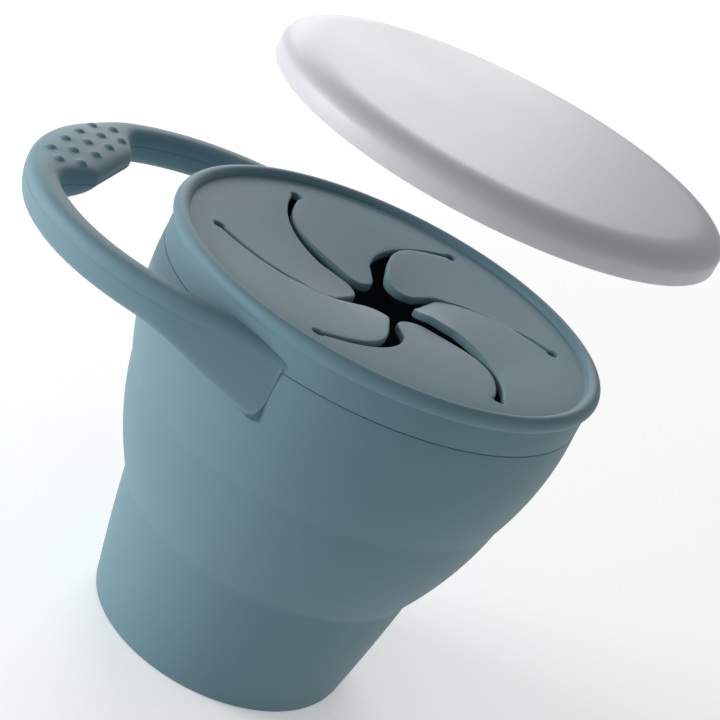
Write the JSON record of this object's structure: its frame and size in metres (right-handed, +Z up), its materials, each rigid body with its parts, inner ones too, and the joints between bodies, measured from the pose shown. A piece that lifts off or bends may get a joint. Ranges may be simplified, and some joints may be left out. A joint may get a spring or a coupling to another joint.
{
  "type": "toddler snack container",
  "caption": "Collapsible round silicone snack cup with a loop handle, a lid of swirled flexible petals that lets a hand in, and a pull-off cover.",
  "frame": {"origin": "centre of the foot's underside, on the table", "axes": "+Z up along the cup's axis, the handle points along -X"},
  "size_m": [0.1339, 0.1062, 0.1289],
  "materials": {
    "silicone": "matte",
    "cover_plastic": "satin"
  },
  "bodies": {
    "base": {"cup_base": "silicone", "cup_middle": "silicone"},
    "upper": {"cup_upper": "silicone"},
    "lid": {"petal_lid": "silicone"},
    "petal_a": {"petal_1": "silicone"},
    "petal_b": {"petal_2": "silicone"},
    "petal_c": {"petal_3": "silicone"},
    "petal_d": {"petal_4": "silicone"},
    "petal_e": {"petal_5": "silicone"},
    "petal_f": {"petal_6": "silicone"},
    "cover": {"cover": "cover_plastic"}
  },
  "joints": [
    {"name": "collapse", "type": "slide", "parent": "base", "child": "upper", "axis": [0, 0, 1], "range_m": [-0.0515, 0], "deforming": ["cup_middle"]},
    {"name": "lid_lift", "type": "slide", "parent": "upper", "child": "lid", "axis": [0, 0, 1], "range_m": [0, 0.025]},
    {"name": "petal_1_bend", "type": "hinge", "parent": "lid", "child": "petal_a", "pos_m": [-0.03132, 0.00203, 0.08795], "axis": [0.3787, 0.9255, 0], "range_deg": [-45, 75], "stiffness_Nm_per_rad": 0.01},
    {"name": "petal_2_bend", "type": "hinge", "parent": "lid", "child": "petal_b", "pos_m": [-0.01742, -0.0261, 0.08795], "axis": [-0.6121, 0.7907, 0], "range_deg": [-45, 75], "stiffness_Nm_per_rad": 0.01},
    {"name": "petal_3_bend", "type": "hinge", "parent": "lid", "child": "petal_c", "pos_m": [0.0139, -0.02814, 0.08795], "axis": [-0.9909, -0.1348, 0], "range_deg": [-45, 75], "stiffness_Nm_per_rad": 0.01},
    {"name": "petal_4_bend", "type": "hinge", "parent": "lid", "child": "petal_d", "pos_m": [0.03132, -0.00203, 0.08795], "axis": [-0.3787, -0.9255, 0], "range_deg": [-45, 75], "stiffness_Nm_per_rad": 0.01},
    {"name": "petal_5_bend", "type": "hinge", "parent": "lid", "child": "petal_e", "pos_m": [0.01742, 0.0261, 0.08795], "axis": [0.6121, -0.7907, 0], "range_deg": [-45, 75], "stiffness_Nm_per_rad": 0.01},
    {"name": "petal_6_bend", "type": "hinge", "parent": "lid", "child": "petal_f", "pos_m": [-0.0139, 0.02814, 0.08795], "axis": [0.9909, 0.1348, 0], "range_deg": [-45, 75], "stiffness_Nm_per_rad": 0.01},
    {"name": "cover_pull_off", "type": "slide", "parent": "lid", "child": "cover", "axis": [-0.1776, -0.2498, -0.9519], "range_m": [0, 0.03603]}
  ]
}
